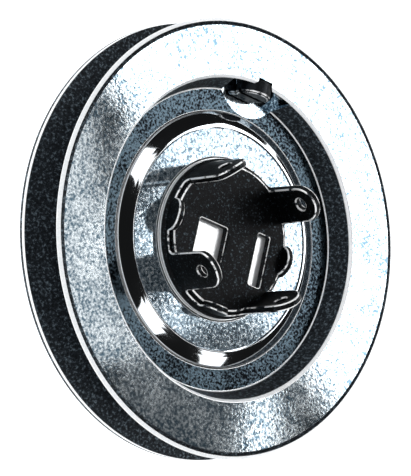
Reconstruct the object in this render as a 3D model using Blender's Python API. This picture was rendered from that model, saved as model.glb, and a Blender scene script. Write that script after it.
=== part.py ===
# V-belt pulley that runs on a shielded ball bearing, with a four-eared drive spider on the hub.
# The pulley lies on its rear boss: the axis is +Z and the front faces up. Lengths are in metres.

import math

import bmesh
import bpy
from mathutils import Matrix

MM = 0.001

# Driving dimensions of the sheave
RIM_RADIUS = 68.65 * MM
RIM_WIDTH = 19.0 * MM
RIM_CHAMFER = 1.0 * MM
RIM_CHAMFER_SLOPE = 0.8
BELT_MOUTH = 15.65 * MM
FRONT_LAND = 1.05 * MM
BELT_WALL_ANGLE = math.radians(19.0)
RECESS_DEPTH = 7.75 * MM
BOSS_CHAMFER = 1.0 * MM
REAR_LIP = 3.0 * MM
REAR_LIP_REACH = 3.0 * MM

# Driving dimensions of the ball bearing
BEARING_RADIUS = 40.0 * MM
BEARING_BORE = 20.0 * MM
BEARING_DEPTH = 5.5 * MM
RING_BEVEL_DROP = 1.7 * MM
RING_BEVEL_POWER = 1.6
RING_CHAMFER = 0.9 * MM
BALL_COUNT = 9
SHIELD_THICKNESS = 0.9 * MM
SHIELD_SINK = 0.3 * MM

# Sizes in the sheave as shares of the band from the bearing to the rim
RIM_BAND = RIM_RADIUS - BEARING_RADIUS
BELT_DEPTH = 0.4747 * RIM_BAND
RECESS_RADIUS = BEARING_RADIUS + 0.3525 * RIM_BAND
RECESS_FLOOR_RADIUS = BEARING_RADIUS + 0.2583 * RIM_BAND
BOSS_RADIUS = BEARING_RADIUS + 0.2094 * RIM_BAND
POCKET_RADIUS = 0.4607 * RIM_BAND
POCKET_CENTRE = RECESS_RADIUS + 0.1396 * RIM_BAND

# Sizes in the bearing as shares of its section from bore to outside
BEARING_SECTION = BEARING_RADIUS - BEARING_BORE
BEARING_WIDTH = 0.9 * BEARING_SECTION
RING_BEVEL = 0.25 * BEARING_SECTION
OUTER_SHOULDER = BEARING_RADIUS - 0.28 * BEARING_SECTION
INNER_SHOULDER = BEARING_BORE + 0.27 * BEARING_SECTION
BALL_RADIUS = 0.285 * BEARING_SECTION
PITCH_RADIUS = BEARING_BORE + BEARING_SECTION / 2
CAGE_WALL = 0.22 * BEARING_SECTION
CAGE_FRONT = 0.13 * BEARING_SECTION

# Driving dimensions of the drive spider
SPIDER_RADIUS = 24.3 * MM
SPIDER_WALL = 2.2 * MM
SPIDER_FOOT = 0.7 * MM
SPIDER_FOOT_HEIGHT = 2.0 * MM
VALLEY_HEIGHT = -2.0 * MM
EAR_HEIGHT = 16.8 * MM
EAR_WIDTH = 12.0 * MM
EAR_HOLE_RADIUS = 2.0 * MM
EAR_HOLE_DROP = 6.4 * MM
LOBE_RISE = 4.3 * MM
LOBE_WIDTH = 10.4 * MM
LOBE_LEFT_OUT = 1
FLANK_DRAFT = 0.2 * MM
ROOT_FILLET = 1.3 * MM
WEB_HEIGHT = -0.9 * MM
WEB_THICKNESS = 1.8 * MM
WEB_EDGE = 0.6 * MM
WIDE_WINDOW_X = (-13.0 * MM, -1.9 * MM)
WIDE_WINDOW_Y = (-11.5 * MM, 2.4 * MM)
NARROW_WINDOW_X = (10.9 * MM, 15.5 * MM)
NARROW_WINDOW_Y = (-11.2 * MM, 5.2 * MM)

# Driving dimensions of the hub sleeve, its snap ring and the lock screw
SHAFT_RADIUS = 12.5 * MM
SHAFT_END_REACH = 0.5 * MM
SHAFT_DEPTH = BEARING_WIDTH - SHAFT_END_REACH
KEYWAY_WIDTH = 8.0 * MM
KEYWAY_DEPTH = 3.3 * MM
SLEEVE_CHAMFER = 0.6 * MM
SLEEVE_SETBACK = 0.2 * MM
SNAP_THICKNESS = 1.2 * MM
SNAP_WIDTH = 3.8 * MM
SNAP_RADIUS = 22.6 * MM
SNAP_MOUTH_ANGLE = math.radians(32.0)
LOCK_RADIUS = 5.5 * MM
LOCK_LENGTH = 5.0 * MM
LOCK_REACH = 3.2 * MM
LOCK_DEPTH = 5.0 * MM
LOCK_SLOT = 1.6 * MM
LOCK_SLOT_DEPTH = 1.4 * MM
LOCK_CHAMFER = 0.6 * MM
LOCK_TIP_RADIUS = RECESS_RADIUS - LOCK_REACH
POCKET_SINK = 0.4 * MM

# Clearance between pieces that seat on one another, and facets per turn
SEAT_GAP = 0.3 * MM
RIM_SEGMENTS = 96
RING_SEGMENTS = 56
SMALL_SEGMENTS = 24
ARC_STEPS = 4
SMOOTH_ANGLE = math.radians(32.0)
PIVOT_SIZE = 10.0 * MM

# Heights above the plane that the rear boss rests on
BEARING_REAR = REAR_LIP + SEAT_GAP
BEARING_FRONT = BEARING_REAR + BEARING_WIDTH
FACE_HEIGHT = BEARING_FRONT + BEARING_DEPTH
REAR_FACE_HEIGHT = FACE_HEIGHT - RIM_WIDTH
BEARING_MIDDLE = (BEARING_REAR + BEARING_FRONT) / 2
RACEWAY_RADIUS = BALL_RADIUS + SEAT_GAP
LEDGE_DEPTH = SHIELD_SINK + SHIELD_THICKNESS + SEAT_GAP
CAGE_BACK = BEARING_WIDTH / 2 - LEDGE_DEPTH - SEAT_GAP
WALL_MIDDLE = SPIDER_RADIUS - SPIDER_WALL / 2


def empty_scene():
    for thing in list(bpy.data.objects):
        bpy.data.objects.remove(thing, do_unlink=True)


def make_material(name, colour, metallic, roughness):
    material = bpy.data.materials.new(name)
    material.use_nodes = True
    shader = material.node_tree.nodes["Principled BSDF"]
    shader.inputs["Base Color"].default_value = (*colour, 1.0)
    shader.inputs["Metallic"].default_value = metallic
    shader.inputs["Roughness"].default_value = roughness
    return material


def add_object(name, mesh_builder, material, parent=None):
    mesh = bpy.data.meshes.new(name)
    bmesh.ops.recalc_face_normals(mesh_builder, faces=mesh_builder.faces)
    mesh_builder.to_mesh(mesh)
    mesh_builder.free()
    mesh.shade_smooth()
    mesh.set_sharp_from_angle(angle=SMOOTH_ANGLE)
    thing = bpy.data.objects.new(name, mesh)
    bpy.context.scene.collection.objects.link(thing)
    thing.parent = parent
    if material is not None:
        mesh.materials.append(material)
    return thing


def add_pivot(name):
    pivot = bpy.data.objects.new(name, None)
    bpy.context.scene.collection.objects.link(pivot)
    pivot.empty_display_size = PIVOT_SIZE
    return pivot


def cut(target, cutter, operation="DIFFERENCE"):
    cutter.hide_render = True
    cutter.display_type = "WIRE"
    cutter.parent = target.parent
    step = target.modifiers.new(operation.lower() + "_" + cutter.name, "BOOLEAN")
    step.operation = operation
    step.solver = "EXACT"
    step.object = cutter


# Weighted normals keep flat faces flat to the eye where a cut leaves long thin facets.
def even_shading(thing):
    shading = thing.modifiers.new("weighted_normals", "WEIGHTED_NORMAL")
    shading.keep_sharp = True


# A closed outline of (radius, height) points becomes a ring round the Z axis.
def turn_ring(outline, segments):
    builder = bmesh.new()
    rings = []
    for turn in range(segments):
        angle = 2 * math.pi * turn / segments
        rings.append([
            builder.verts.new((radius * math.cos(angle), radius * math.sin(angle), height))
            for radius, height in outline
        ])
    for turn in range(segments):
        here = rings[turn]
        there = rings[(turn + 1) % segments]
        for place in range(len(outline)):
            after = (place + 1) % len(outline)
            builder.faces.new((here[place], there[place], there[after], here[after]))
    return builder


# An outline that starts and ends on the axis becomes a solid of revolution.
def turn_solid(outline, segments):
    builder = bmesh.new()
    rings = []
    for turn in range(segments):
        angle = 2 * math.pi * turn / segments
        rings.append([
            builder.verts.new((radius * math.cos(angle), radius * math.sin(angle), height))
            for radius, height in outline[1:-1]
        ])
    for turn in range(segments):
        here = rings[turn]
        there = rings[(turn + 1) % segments]
        for place in range(len(here) - 1):
            builder.faces.new((here[place], there[place], there[place + 1], here[place + 1]))
    builder.faces.new([ring[0] for ring in rings])
    builder.faces.new([ring[-1] for ring in reversed(rings)])
    return builder


# A flat outline of (x, y) points becomes a prism between two heights.
def make_prism(outline, bottom, top):
    builder = bmesh.new()
    low = [builder.verts.new((x, y, bottom)) for x, y in outline]
    high = [builder.verts.new((x, y, top)) for x, y in outline]
    builder.faces.new(list(reversed(low)))
    builder.faces.new(high)
    for place in range(len(outline)):
        after = (place + 1) % len(outline)
        builder.faces.new((low[place], low[after], high[after], high[place]))
    return builder


def rectangle(left, right, near, far):
    return [(left, near), (right, near), (right, far), (left, far)]


def make_rod(radius, bottom, top, chamfer=0.0, segments=SMALL_SEGMENTS):
    outline = [(0.0, bottom), (radius - chamfer, bottom)]
    if chamfer:
        outline += [(radius, bottom + chamfer), (radius, top - chamfer)]
    outline += [(radius - chamfer, top), (0.0, top)]
    return turn_solid(outline, segments)


def arc_points(centre_radius, centre_height, radius, start, end, steps=ARC_STEPS):
    points = []
    for step in range(steps + 1):
        angle = start + (end - start) * step / steps
        points.append((centre_radius + radius * math.cos(angle), centre_height + radius * math.sin(angle)))
    return points


# The sheave: rim with its belt groove, front recess, bearing seat and rear boss in one casting
def sheave_outline():
    half_mouth = BELT_MOUTH / 2
    middle = FACE_HEIGHT - FRONT_LAND - half_mouth
    half_floor = half_mouth - BELT_DEPTH * math.tan(BELT_WALL_ANGLE)
    floor_radius = RIM_RADIUS - BELT_DEPTH
    floor_height = FACE_HEIGHT - RECESS_DEPTH
    chamfer_drop = min(RIM_CHAMFER, FRONT_LAND) * RIM_CHAMFER_SLOPE
    return [
        (RIM_RADIUS - RIM_CHAMFER, REAR_FACE_HEIGHT),
        (RIM_RADIUS, REAR_FACE_HEIGHT + chamfer_drop),
        (RIM_RADIUS, middle - half_mouth),
        (floor_radius, middle - half_floor),
        (floor_radius, middle + half_floor),
        (RIM_RADIUS, middle + half_mouth),
        (RIM_RADIUS, FACE_HEIGHT - chamfer_drop),
        (RIM_RADIUS - RIM_CHAMFER, FACE_HEIGHT),
        (RECESS_RADIUS, FACE_HEIGHT),
        (RECESS_FLOOR_RADIUS, floor_height),
        (BEARING_RADIUS + SEAT_GAP, floor_height),
        (BEARING_RADIUS + SEAT_GAP, REAR_LIP),
        (BEARING_RADIUS - REAR_LIP_REACH, REAR_LIP),
        (BEARING_RADIUS - REAR_LIP_REACH, 0.0),
        (BOSS_RADIUS - BOSS_CHAMFER, 0.0),
        (BOSS_RADIUS, BOSS_CHAMFER),
        (BOSS_RADIUS, REAR_FACE_HEIGHT),
    ]


# The milled pocket is the part of a round cut that lies inside the mouth of the recess.
def pocket_outline():
    along = (POCKET_CENTRE ** 2 + RECESS_RADIUS ** 2 - POCKET_RADIUS ** 2) / (2 * POCKET_CENTRE)
    across = math.sqrt(RECESS_RADIUS ** 2 - along ** 2)
    wall_start = math.atan2(along, across)
    wall_end = math.pi - wall_start
    cut_start = math.atan2(along - POCKET_CENTRE, -across) + 2 * math.pi
    cut_end = math.atan2(along - POCKET_CENTRE, across) + 2 * math.pi
    outline = arc_points(0.0, 0.0, RECESS_RADIUS, wall_start, wall_end, 2 * ARC_STEPS)
    outline += arc_points(0.0, POCKET_CENTRE, POCKET_RADIUS, cut_start, cut_end, 2 * ARC_STEPS)[1:-1]
    return outline


def lay_along_y(thing, start, height):
    thing.matrix_local = Matrix.Translation((0.0, start, height)) @ Matrix.Rotation(-math.pi / 2, 4, "X")


def build_sheave(steel):
    sheave = add_object("sheave", turn_ring(sheave_outline(), RIM_SEGMENTS), steel)
    pocket_floor = FACE_HEIGHT - RECESS_DEPTH - POCKET_SINK
    pocket = make_prism(pocket_outline(), pocket_floor, FACE_HEIGHT + RIM_CHAMFER)
    cut(sheave, add_object("pocket_cutter", pocket, None))
    hole = add_object("lock_hole_cutter", make_rod(LOCK_RADIUS + SEAT_GAP, 0.0, LOCK_LENGTH + SEAT_GAP), None)
    lay_along_y(hole, LOCK_TIP_RADIUS, FACE_HEIGHT - LOCK_DEPTH)
    cut(sheave, hole)
    even_shading(sheave)


def build_lock_screw(black):
    screw = add_object("lock_screw", make_rod(LOCK_RADIUS, 0.0, LOCK_LENGTH, LOCK_CHAMFER), black)
    lay_along_y(screw, LOCK_TIP_RADIUS, FACE_HEIGHT - LOCK_DEPTH)
    half_slot = LOCK_SLOT / 2
    outline = rectangle(-2 * LOCK_RADIUS, 2 * LOCK_RADIUS, -half_slot, half_slot)
    slot = add_object("lock_slot_cutter", make_prism(outline, -LOCK_SLOT_DEPTH, LOCK_SLOT_DEPTH), None)
    slot.matrix_local = screw.matrix_local.copy()
    cut(screw, slot)


# The raceways are arcs round the pitch circle, one cut into each ring of the bearing.
def raceway(shoulder, outward):
    reach = abs(shoulder - PITCH_RADIUS)
    swing = math.acos(reach / RACEWAY_RADIUS)
    if outward:
        return arc_points(PITCH_RADIUS, BEARING_MIDDLE, RACEWAY_RADIUS, swing, -swing)
    return arc_points(PITCH_RADIUS, BEARING_MIDDLE, RACEWAY_RADIUS, math.pi + swing, math.pi - swing)


# The front of the outer ring falls away to its edge in a shallow polished curve.
def ring_brow():
    points = []
    for step in range(ARC_STEPS + 1):
        share = step / ARC_STEPS
        radius = BEARING_RADIUS - RING_BEVEL * share
        points.append((radius, BEARING_FRONT - RING_BEVEL_DROP * (1.0 - share) ** RING_BEVEL_POWER))
    return points


def build_outer_ring(polished):
    notch = BEARING_RADIUS - RING_BEVEL
    outline = [(BEARING_RADIUS - RING_CHAMFER, BEARING_REAR), (BEARING_RADIUS, BEARING_REAR + RING_CHAMFER)]
    outline += ring_brow()
    outline += [(notch, BEARING_FRONT - LEDGE_DEPTH), (OUTER_SHOULDER, BEARING_FRONT - LEDGE_DEPTH)]
    outline += raceway(OUTER_SHOULDER, True)
    outline += [(OUTER_SHOULDER, BEARING_REAR + LEDGE_DEPTH), (notch, BEARING_REAR + LEDGE_DEPTH)]
    outline += [(notch, BEARING_REAR)]
    add_object("bearing_outer_ring", turn_ring(outline, RING_SEGMENTS), polished)


def build_inner_ring(polished, hub_pivot):
    outline = [(BEARING_BORE, BEARING_REAR + RING_CHAMFER), (BEARING_BORE, BEARING_FRONT - RING_CHAMFER)]
    outline += [(BEARING_BORE + RING_CHAMFER, BEARING_FRONT), (INNER_SHOULDER, BEARING_FRONT)]
    outline += list(reversed(raceway(INNER_SHOULDER, False)))
    outline += [(INNER_SHOULDER, BEARING_REAR), (BEARING_BORE + RING_CHAMFER, BEARING_REAR)]
    add_object("bearing_inner_ring", turn_ring(outline, RING_SEGMENTS), polished, hub_pivot)


def build_shield(name, bright, bottom):
    inner = INNER_SHOULDER + SEAT_GAP
    outer = BEARING_RADIUS - RING_BEVEL - SEAT_GAP
    top = bottom + SHIELD_THICKNESS
    outline = [(inner, bottom), (outer, bottom), (outer, top), (inner, top)]
    add_object(name, turn_ring(outline, RING_SEGMENTS), bright)


def build_balls(polished, ball_pivot):
    builder = bmesh.new()
    bmesh.ops.create_icosphere(builder, subdivisions=3, radius=BALL_RADIUS)
    first = add_object("ball_1", builder, polished, ball_pivot)
    for number in range(BALL_COUNT):
        ball = first
        if number:
            ball = bpy.data.objects.new(f"ball_{number + 1}", first.data)
            bpy.context.scene.collection.objects.link(ball)
            ball.parent = ball_pivot
        angle = 2 * math.pi * number / BALL_COUNT
        ball.location = (PITCH_RADIUS * math.cos(angle), PITCH_RADIUS * math.sin(angle), BEARING_MIDDLE)


# The cage is a crown ring with one round pocket for each ball, open to the front.
def build_cage(nylon, ball_pivot):
    inner = PITCH_RADIUS - CAGE_WALL / 2
    outer = PITCH_RADIUS + CAGE_WALL / 2
    back = BEARING_MIDDLE - CAGE_BACK
    front = BEARING_MIDDLE + CAGE_FRONT
    outline = [(inner, back), (outer, back), (outer, front), (inner, front)]
    cage = add_object("ball_cage", turn_ring(outline, RING_SEGMENTS), nylon, ball_pivot)
    pocket_radius = BALL_RADIUS + SEAT_GAP
    for number in range(BALL_COUNT):
        rod = make_rod(pocket_radius, inner - CAGE_WALL, outer + CAGE_WALL)
        pocket = add_object(f"cage_pocket_cutter_{number + 1}", rod, None)
        turn = Matrix.Rotation(2 * math.pi * number / BALL_COUNT, 4, "Z")
        tip = Matrix.Rotation(math.pi / 2, 4, "Y")
        cut(cage, pocket)
        pocket.matrix_local = Matrix.Translation((0.0, 0.0, BEARING_MIDDLE)) @ turn @ tip


# Height of the spider's wall above the face of the sheave, as points along a quarter of its
# circumference that starts at the middle of a lobe and ends at the middle of the next one.
# The lobe that would point to the lock screw is left out, so the wall runs level there.
def crown_quarter(number):
    quarter = math.pi / 2 * WALL_MIDDLE
    half_ear = EAR_WIDTH / 2
    half_lobe = LOBE_WIDTH / 2
    ear_middle = quarter / 2
    shoulder = EAR_HEIGHT - half_ear
    rising = []
    for step in range(ARC_STEPS):
        share = math.sin(math.pi / 2 * step / ARC_STEPS)
        rising.append((half_lobe * share, VALLEY_HEIGHT + LOBE_RISE * math.sqrt(1.0 - share ** 2)))
    rising.append((half_lobe, VALLEY_HEIGHT))
    foot = ear_middle - half_ear - FLANK_DRAFT
    for step in range(ARC_STEPS):
        swing = math.pi / 2 * step / (ARC_STEPS - 1)
        along = foot - ROOT_FILLET * (1.0 - math.sin(swing))
        rising.append((along, VALLEY_HEIGHT + ROOT_FILLET * (1.0 - math.cos(swing))))
    for step in range(ARC_STEPS + 1):
        swing = math.pi / 2 * step / ARC_STEPS
        rising.append((ear_middle - half_ear * math.cos(swing), shoulder + half_ear * math.sin(swing)))
    falling = [(quarter - along, height) for along, height in reversed(rising[1:-1])]
    points = []
    for along, height in rising + falling:
        near_start = along < half_lobe and number == LOBE_LEFT_OUT
        near_end = along > quarter - half_lobe and number + 1 == LOBE_LEFT_OUT
        points.append((along, VALLEY_HEIGHT if near_start or near_end else height))
    return points


def build_crown_wall(black, hub_pivot):
    columns = []
    for number in range(4):
        for along, height in crown_quarter(number):
            columns.append((number * math.pi / 2 + along / WALL_MIDDLE, FACE_HEIGHT + height))
    foot_bottom = BEARING_FRONT + SEAT_GAP
    foot_top = foot_bottom + SPIDER_FOOT_HEIGHT
    foot_radius = SPIDER_RADIUS + SPIDER_FOOT
    inner_radius = SPIDER_RADIUS - SPIDER_WALL
    builder = bmesh.new()
    rings = []
    for angle, top in columns:
        section = [
            (inner_radius, foot_bottom),
            (foot_radius, foot_bottom),
            (foot_radius, foot_top - SPIDER_FOOT),
            (SPIDER_RADIUS, foot_top),
            (SPIDER_RADIUS, top),
            (inner_radius, top),
        ]
        rings.append([
            builder.verts.new((radius * math.cos(angle), radius * math.sin(angle), height))
            for radius, height in section
        ])
    for place, here in enumerate(rings):
        there = rings[(place + 1) % len(rings)]
        for corner in range(len(here)):
            after = (corner + 1) % len(here)
            builder.faces.new((here[corner], there[corner], there[after], here[after]))
    return add_object("drive_spider", builder, black, hub_pivot)


# The drive spider: a castellated wall with four drilled ears, four low lobes and a slotted web
def build_spider(black, hub_pivot):
    spider = build_crown_wall(black, hub_pivot)
    web_top = FACE_HEIGHT + WEB_HEIGHT
    web_bottom = web_top - WEB_THICKNESS
    web_radius = WALL_MIDDLE
    web_outline = [
        (0.0, web_bottom),
        (web_radius, web_bottom),
        (web_radius, web_top - WEB_EDGE),
        (web_radius - WEB_EDGE, web_top),
        (0.0, web_top),
    ]
    web = add_object("web_joiner", turn_solid(web_outline, RING_SEGMENTS), None, hub_pivot)
    cut(spider, web, "UNION")
    windows = ((WIDE_WINDOW_X, WIDE_WINDOW_Y), (NARROW_WINDOW_X, NARROW_WINDOW_Y))
    for number, (sides, span) in enumerate(windows):
        prism = make_prism(rectangle(*sides, *span), web_bottom - WEB_THICKNESS, web_top + WEB_THICKNESS)
        cut(spider, add_object(f"window_cutter_{number + 1}", prism, None))
    hole_height = FACE_HEIGHT + EAR_HEIGHT - EAR_HOLE_DROP
    for number in range(4):
        rod = make_rod(EAR_HOLE_RADIUS, SPIDER_RADIUS - 2 * SPIDER_WALL, SPIDER_RADIUS + SPIDER_WALL)
        hole = add_object(f"ear_hole_cutter_{number + 1}", rod, None)
        turn = Matrix.Rotation(math.pi / 4 + number * math.pi / 2, 4, "Z")
        cut(spider, hole)
        hole.matrix_local = Matrix.Translation((0.0, 0.0, hole_height)) @ turn @ Matrix.Rotation(math.pi / 2, 4, "Y")
    even_shading(spider)


# The hub sleeve carries the inner ring and takes the keyed shaft from the rear.
def build_sleeve(bright, hub_pivot):
    radius = BEARING_BORE - SEAT_GAP
    top = FACE_HEIGHT + WEB_HEIGHT - WEB_THICKNESS - SEAT_GAP
    groove_top = BEARING_REAR
    groove_bottom = groove_top - SNAP_THICKNESS - 2 * SEAT_GAP
    groove_radius = SNAP_RADIUS - SNAP_WIDTH - SEAT_GAP
    bottom = SLEEVE_SETBACK
    bore_top = bottom + SHAFT_DEPTH
    outline = [
        (0.0, bore_top),
        (SHAFT_RADIUS, bore_top),
        (SHAFT_RADIUS, bottom + SLEEVE_CHAMFER),
        (SHAFT_RADIUS + SLEEVE_CHAMFER, bottom),
        (radius - SLEEVE_CHAMFER, bottom),
        (radius, bottom + SLEEVE_CHAMFER),
        (radius, groove_bottom),
        (groove_radius, groove_bottom),
        (groove_radius, groove_top),
        (radius, groove_top),
        (radius, top - SLEEVE_CHAMFER),
        (radius - SLEEVE_CHAMFER, top),
        (0.0, top),
    ]
    sleeve = add_object("hub_sleeve", turn_solid(outline, RING_SEGMENTS), bright, hub_pivot)
    half_key = KEYWAY_WIDTH / 2
    key_outline = rectangle(-half_key, half_key, 0.0, SHAFT_RADIUS + KEYWAY_DEPTH)
    keyway = make_prism(key_outline, bottom - SHAFT_RADIUS, bore_top)
    cut(sleeve, add_object("keyway_cutter", keyway, None))
    even_shading(sleeve)


# The snap ring is an open spring ring behind the inner ring of the bearing.
def build_snap_ring(black, hub_pivot):
    top = BEARING_REAR - SEAT_GAP
    bottom = top - SNAP_THICKNESS
    inner = SNAP_RADIUS - SNAP_WIDTH
    start = SNAP_MOUTH_ANGLE / 2
    end = 2 * math.pi - start
    outline = arc_points(0.0, 0.0, SNAP_RADIUS, start, end, RING_SEGMENTS // 2)
    outline += arc_points(0.0, 0.0, inner, end, start, RING_SEGMENTS // 2)
    add_object("snap_ring", make_prism(outline, bottom, top), black, hub_pivot)


def main():
    empty_scene()
    turned_steel = make_material("turned_steel", (0.72, 0.75, 0.78), 1.0, 0.28)
    bearing_steel = make_material("bearing_steel", (0.80, 0.82, 0.84), 1.0, 0.12)
    shield_steel = make_material("shield_steel", (0.76, 0.79, 0.82), 1.0, 0.32)
    bright_steel = make_material("bright_steel", (0.85, 0.86, 0.88), 1.0, 0.22)
    black_iron = make_material("black_iron", (0.035, 0.038, 0.045), 0.6, 0.45)
    black_steel = make_material("black_steel", (0.03, 0.032, 0.038), 0.8, 0.35)
    nylon = make_material("nylon", (0.62, 0.58, 0.48), 0.0, 0.5)
    hub_pivot = add_pivot("hub_pivot")
    ball_pivot = add_pivot("ball_pivot")
    build_sheave(turned_steel)
    build_lock_screw(black_steel)
    build_outer_ring(bearing_steel)
    build_inner_ring(bearing_steel, hub_pivot)
    build_shield("front_shield", shield_steel, BEARING_FRONT - SHIELD_SINK - SHIELD_THICKNESS)
    build_shield("rear_shield", shield_steel, BEARING_REAR + SHIELD_SINK)
    build_balls(bearing_steel, ball_pivot)
    build_cage(nylon, ball_pivot)
    build_spider(black_iron, hub_pivot)
    build_sleeve(bright_steel, hub_pivot)
    build_snap_ring(black_steel, hub_pivot)


main()
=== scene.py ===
# A V-belt pulley on a shielded ball bearing, with a black drive spider in its hub. It lies on its rear boss.
import math

import bmesh
import bpy
from mathutils import Matrix, Vector


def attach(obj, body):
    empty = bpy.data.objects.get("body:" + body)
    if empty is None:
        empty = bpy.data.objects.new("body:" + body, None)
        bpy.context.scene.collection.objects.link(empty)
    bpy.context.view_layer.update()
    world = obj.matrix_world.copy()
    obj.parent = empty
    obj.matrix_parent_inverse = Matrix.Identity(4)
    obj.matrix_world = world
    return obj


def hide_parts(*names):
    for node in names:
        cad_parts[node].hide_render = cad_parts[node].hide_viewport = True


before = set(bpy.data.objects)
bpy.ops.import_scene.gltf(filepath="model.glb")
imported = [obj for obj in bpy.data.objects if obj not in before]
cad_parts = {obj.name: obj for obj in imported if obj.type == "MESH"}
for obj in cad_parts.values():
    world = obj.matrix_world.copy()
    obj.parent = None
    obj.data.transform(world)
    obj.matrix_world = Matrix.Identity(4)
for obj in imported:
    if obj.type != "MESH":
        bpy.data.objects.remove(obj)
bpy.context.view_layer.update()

mm = 0.001
turn = 2 * math.pi
quarter = turn / 4
sharpAngle = 40                                  # degrees between faces, from which an edge stays sharp
weldDistance = 0.0005 * mm                       # the cuts leave a few corners almost on one another
print("frame loaded:", len(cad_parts), "nodes")


# Small tools.
def linear(hexColour):                           # an sRGB hex colour as the renderer's linear values
    values = [int(hexColour[place:place + 2], 16) / 255 for place in (1, 3, 5)]
    return tuple(v / 12.92 if v <= 0.04045 else ((v + 0.055) / 1.055) ** 2.4 for v in values) + (1.0,)


def addNode(tree, kind, settings=None, links=None):
    made = tree.nodes.new("ShaderNode" + kind)
    for name, value in (settings or {}).items():
        if name == "stops":                      # colour ramp: (place, colour) pairs, and it has two to begin with
            ramp = made.color_ramp
            for stop in value[2:]:
                ramp.elements.new(stop[0])
            for element, (place, colour) in zip(ramp.elements, sorted(value)):
                element.position = place
                element.color = linear(colour)
        elif isinstance(name, str) and hasattr(made, name):
            setattr(made, name, value)
        else:
            made.inputs[name].default_value = value
    for name, source in (links or {}).items():
        tree.links.new(source, made.inputs[name])
    return made


def startMaterial(name, colour, metallic, roughness):
    material = bpy.data.materials.new(name)
    material.use_nodes = True
    shader = material.node_tree.nodes["Principled BSDF"]
    shader.inputs["Base Color"].default_value = linear(colour)
    shader.inputs["Metallic"].default_value = metallic
    shader.inputs["Roughness"].default_value = roughness
    place = addNode(material.node_tree, "TexCoord").outputs["Object"]
    return material, material.node_tree, shader, place


def grain(size):                                 # texture scale for a pattern of this size in mm
    return 1 / (size * mm)


def addPiece(name, build, materials, body):      # a cutter rides on no body
    mesh = bpy.data.meshes.new(name)
    bmesh.ops.recalc_face_normals(build, faces=build.faces)
    build.to_mesh(mesh)
    build.free()
    mesh.shade_smooth()
    piece = bpy.data.objects.new(name, mesh)
    bpy.context.scene.collection.objects.link(piece)
    for material in materials:
        mesh.materials.append(material)
    if body:
        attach(piece, body)
    return piece


def keepFlatsFlat(piece):
    piece.data.set_sharp_from_angle(angle=math.radians(sharpAngle))
    even = piece.modifiers.new("evenNormals", "WEIGHTED_NORMAL")
    even.keep_sharp = True


def cutWith(piece, cutter, operation="DIFFERENCE"):
    step = piece.modifiers.new("cut", "BOOLEAN")
    step.operation = operation
    step.solver = "EXACT"
    step.object = cutter
    bpy.context.view_layer.update()
    solid = bpy.data.meshes.new_from_object(piece.evaluated_get(bpy.context.evaluated_depsgraph_get()))
    piece.modifiers.clear()
    welded = bmesh.new()
    welded.from_mesh(solid)
    bmesh.ops.remove_doubles(welded, verts=welded.verts, dist=weldDistance)
    bmesh.ops.dissolve_degenerate(welded, edges=welded.edges, dist=weldDistance)
    welded.to_mesh(solid)
    welded.free()
    solid.name = piece.name
    piece.data = solid
    bpy.data.objects.remove(cutter, do_unlink=True)


# An outline is a list of corners: radius, height, rounding, zone of the stretch that follows, zone of the corner.
# A zone is the number of the piece's material that the faces get.
def inMetres(corners):
    return [(r * mm, z * mm, rounding * mm, zone, corner) for r, z, rounding, zone, corner in corners]


def roundOutline(corners, closed, steps=4):
    path = []
    for place, (radius, height, rounding, zone, cornerZone) in enumerate(corners):
        here = Vector((radius, height))
        ends = not closed and place in (0, len(corners) - 1)
        if rounding == 0 or ends:
            path.append((here, zone))
            continue
        before = Vector(corners[place - 1][:2]) - here
        after = Vector(corners[(place + 1) % len(corners)][:2]) - here
        reach = min(rounding, 0.48 * before.length, 0.48 * after.length)     # two roundings share a short stretch
        first = here + before.normalized() * reach
        last = here + after.normalized() * reach
        for step in range(steps + 1):
            share = step / steps
            point = first * (1 - share) ** 2 + here * 2 * share * (1 - share) + last * share ** 2
            path.append((point, cornerZone if step < steps else zone))
    return path


# Turning the outline round the Z axis makes a ring, or a solid where its ends lie on the axis.
def turnOutline(corners, segments, closed=True):
    path = roundOutline(corners, closed)
    build = bmesh.new()
    columns = []
    centres = {}
    for number in range(segments):
        angle = turn * number / segments
        column = []
        for place, (point, zone) in enumerate(path):
            if point.x < 0.001 * mm:             # on the axis: one corner for the whole turn
                if place not in centres:
                    centres[place] = build.verts.new((0, 0, point.y))
                column.append(centres[place])
            else:
                column.append(build.verts.new((point.x * math.cos(angle), point.x * math.sin(angle), point.y)))
        columns.append(column)
    stretches = len(path) if closed else len(path) - 1
    for number in range(segments):
        here, there = columns[number], columns[(number + 1) % segments]
        for place in range(stretches):
            after = (place + 1) % len(path)
            ring = [here[place], there[place], there[after], here[after]]
            ring = [vert for spot, vert in enumerate(ring) if vert not in ring[:spot]]
            if len(ring) > 2:
                build.faces.new(ring).material_index = path[place][1]
    return build


# A flat outline swept through (height, spread, zone) levels makes a prism, and the spread lets its rims flare.
def sweepOutline(shape, levels):
    build = bmesh.new()
    rings = [[build.verts.new((x, y, height)) for x, y in shape(spread)] for height, spread, zone in levels]
    build.faces.new(list(reversed(rings[0]))).material_index = levels[0][2]
    build.faces.new(rings[-1]).material_index = levels[-1][2]
    for low, high, (height, spread, zone) in zip(rings, rings[1:], levels):
        for spot in range(len(low)):
            after = (spot + 1) % len(low)
            build.faces.new((low[spot], low[after], high[after], high[spot])).material_index = zone
    return build


def roundedRectangle(left, right, near, far, corner, spread, steps=4):
    points = []
    corners = ((right, far, 1, 1), (left, far, -1, 1), (left, near, -1, -1), (right, near, 1, -1))
    reach = corner + spread
    for number, (x, y, signX, signY) in enumerate(corners):
        for step in range(steps + 1):
            angle = turn * (number + step / steps) / 4
            points.append((x - signX * corner + reach * math.cos(angle), y - signY * corner + reach * math.sin(angle)))
    return points


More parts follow.
